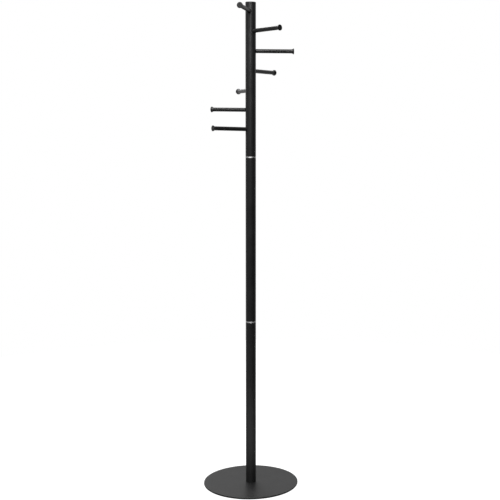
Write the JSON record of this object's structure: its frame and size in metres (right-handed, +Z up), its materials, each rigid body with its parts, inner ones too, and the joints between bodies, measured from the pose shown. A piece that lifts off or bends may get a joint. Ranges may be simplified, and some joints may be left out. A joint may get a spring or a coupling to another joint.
{
  "type": "standing coat rack",
  "caption": "Free-standing coat rack: a round flat steel foot, a slim round pole in screwed sections with bright rings between them, and straight flared pegs in a spiral near the top.",
  "frame": {"origin": "on the floor, under the centre of the round foot, on the pole's axis", "axes": "+Z up along the pole; the front faces -Y; +X to the right seen from the front"},
  "size_m": [0.354, 0.354, 1.784],
  "materials": {
    "powder_coat": "black fine-textured powder coat",
    "polished_steel": "turned and satin polished",
    "zinc_steel": "bright zinc plated",
    "pad_foam": "closed-cell foam, matt"
  },
  "bodies": {
    "lower_section": {"base_plate": "powder_coat", "floor_pad_1": "pad_foam", "floor_pad_2": "pad_foam", "floor_pad_3": "pad_foam", "floor_pad_4": "pad_foam", "floor_pad_5": "pad_foam", "floor_pad_6": "pad_foam", "base_screw": "zinc_steel", "foot_plug": "zinc_steel", "lower_tube": "powder_coat", "lower_stud_plug": "zinc_steel", "lower_stud": "zinc_steel"},
    "lower_trim": {"lower_ring": "polished_steel"},
    "middle_section": {"middle_socket": "zinc_steel", "middle_tube": "powder_coat", "middle_stud_plug": "zinc_steel", "middle_stud": "zinc_steel"},
    "upper_trim": {"upper_ring": "polished_steel"},
    "upper_section": {"upper_socket": "zinc_steel", "upper_tube": "powder_coat", "top_cap": "powder_coat", "peg_rivet_nuts": "zinc_steel", "peg_studs": "zinc_steel", "peg_1": "powder_coat", "peg_2": "powder_coat", "peg_3": "powder_coat", "peg_4": "powder_coat", "peg_5": "powder_coat", "peg_6": "powder_coat", "peg_7": "powder_coat"}
  },
  "joints": [
    {"name": "middle_turn", "type": "hinge", "parent": "lower_section", "child": "lower_trim", "pos_m": [0, 0, 0.6185], "axis": [0, 0, 1], "range_deg": [0, 4320]},
    {"name": "middle_rise", "type": "slide", "parent": "lower_trim", "child": "middle_section", "axis": [0, 0, 1], "range_m": [0, 0.024]},
    {"name": "upper_turn", "type": "hinge", "parent": "middle_section", "child": "upper_trim", "pos_m": [0, 0, 1.228], "axis": [0, 0, 1], "range_deg": [0, 4320]},
    {"name": "upper_rise", "type": "slide", "parent": "upper_trim", "child": "upper_section", "axis": [0, 0, 1], "range_m": [0, 0.024]}
  ],
  "couplings": [
    {"joint": "middle_rise", "follows": "middle_turn", "m_per_rad": 0.0003183},
    {"joint": "upper_rise", "follows": "upper_turn", "m_per_rad": 0.0003183}
  ]
}
